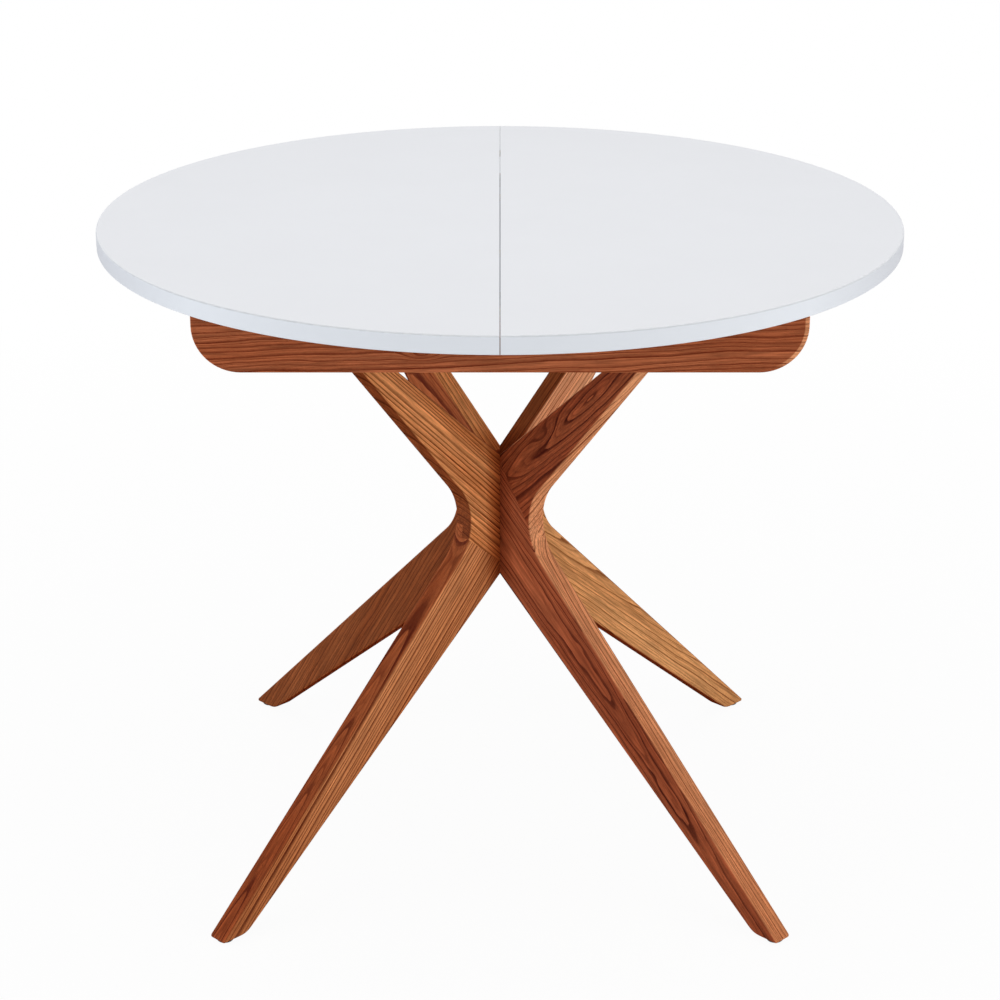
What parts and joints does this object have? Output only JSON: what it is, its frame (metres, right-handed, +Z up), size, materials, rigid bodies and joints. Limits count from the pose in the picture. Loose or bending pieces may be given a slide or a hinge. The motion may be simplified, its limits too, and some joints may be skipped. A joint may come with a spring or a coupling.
{
  "type": "butterfly leaf table",
  "caption": "Round extending table with a two-part sliding top, a folded leaf stored below it, an apron frame and a crossed wooden base.",
  "frame": {"origin": "on the floor, under the middle of the round top", "axes": "+Z up, +X the way the right half slides out, -Y towards the front"},
  "size_m": [0.8999, 0.9, 0.75],
  "materials": {
    "white_top": "satin lacquer",
    "stained_wood": "satin stain",
    "pale_wood": "bare, sanded",
    "slide_metal": "extruded, anodised",
    "steel": "zinc plated",
    "brass": "turned",
    "gear_plastic": "moulded",
    "felt": "felt",
    "glide_plastic": "moulded"
  },
  "bodies": {
    "frame": {"apron_front": "stained_wood", "apron_rear": "stained_wood", "arm_bolts": "steel", "arm_front_left": "stained_wood", "arm_front_right": "stained_wood", "arm_inserts": "brass", "arm_rear_left": "stained_wood", "arm_rear_right": "stained_wood", "bearer_left": "pale_wood", "bearer_right": "pale_wood", "corner_blocks": "pale_wood", "end_rail_left": "stained_wood", "end_rail_right": "stained_wood", "foot_glides": "glide_plastic", "frame_dowels": "pale_wood", "glide_nails": "steel", "hub_dowels": "pale_wood", "leaf_buffers": "felt", "leaf_bushes": "brass", "leaf_hinge_pins": "brass", "leaf_hinge_plates": "brass", "leaf_hinge_screws": "brass", "leaf_ledger_front": "pale_wood", "leaf_ledger_rear": "pale_wood", "leaf_panel_lower": "white_top", "leaf_panel_upper": "white_top", "leaf_pins": "brass", "ledger_felts": "felt", "leg_front_left": "stained_wood", "leg_front_right": "stained_wood", "leg_rear_left": "stained_wood", "leg_rear_right": "stained_wood", "pinion_axles": "steel", "rail_screws": "steel", "slide_rail_front": "slide_metal", "slide_rail_rear": "slide_metal", "stop_pegs": "steel"},
    "top_left": {"tabletop_left": "white_top", "alignment_pins": "brass", "seam_magnets": "steel", "runner_front_left": "pale_wood", "runner_rear_left": "pale_wood", "rack_front_left": "gear_plastic", "rack_rear_left": "gear_plastic", "runner_screws_left": "steel"},
    "top_right": {"tabletop_right": "white_top", "alignment_bushes": "brass", "magnet_strikes": "steel", "runner_front_right": "pale_wood", "runner_rear_right": "pale_wood", "rack_front_right": "gear_plastic", "rack_rear_right": "gear_plastic", "runner_screws_right": "steel"},
    "pinion_front": {"pinion_front": "gear_plastic"},
    "pinion_rear": {"pinion_rear": "gear_plastic"}
  },
  "joints": [
    {"name": "top_left_slide", "type": "slide", "parent": "frame", "child": "top_left", "axis": [-1, 0, 0], "range_m": [0, 0.16]},
    {"name": "top_right_slide", "type": "slide", "parent": "frame", "child": "top_right", "axis": [1, 0, 0], "range_m": [0, 0.16]},
    {"name": "pinion_front_spin", "type": "hinge", "parent": "frame", "child": "pinion_front", "pos_m": [0, -0.25088, 0.699], "axis": [0, 0, -1], "range_deg": [0, 1147]},
    {"name": "pinion_rear_spin", "type": "hinge", "parent": "frame", "child": "pinion_rear", "pos_m": [0, 0.25088, 0.699], "axis": [0, 0, -1], "range_deg": [0, 1147]}
  ],
  "couplings": [
    {"joint": "top_right_slide", "follows": "top_left_slide", "ratio": 1},
    {"joint": "pinion_front_spin", "follows": "top_left_slide", "rad_per_m": 125},
    {"joint": "pinion_rear_spin", "follows": "top_left_slide", "rad_per_m": 125}
  ]
}
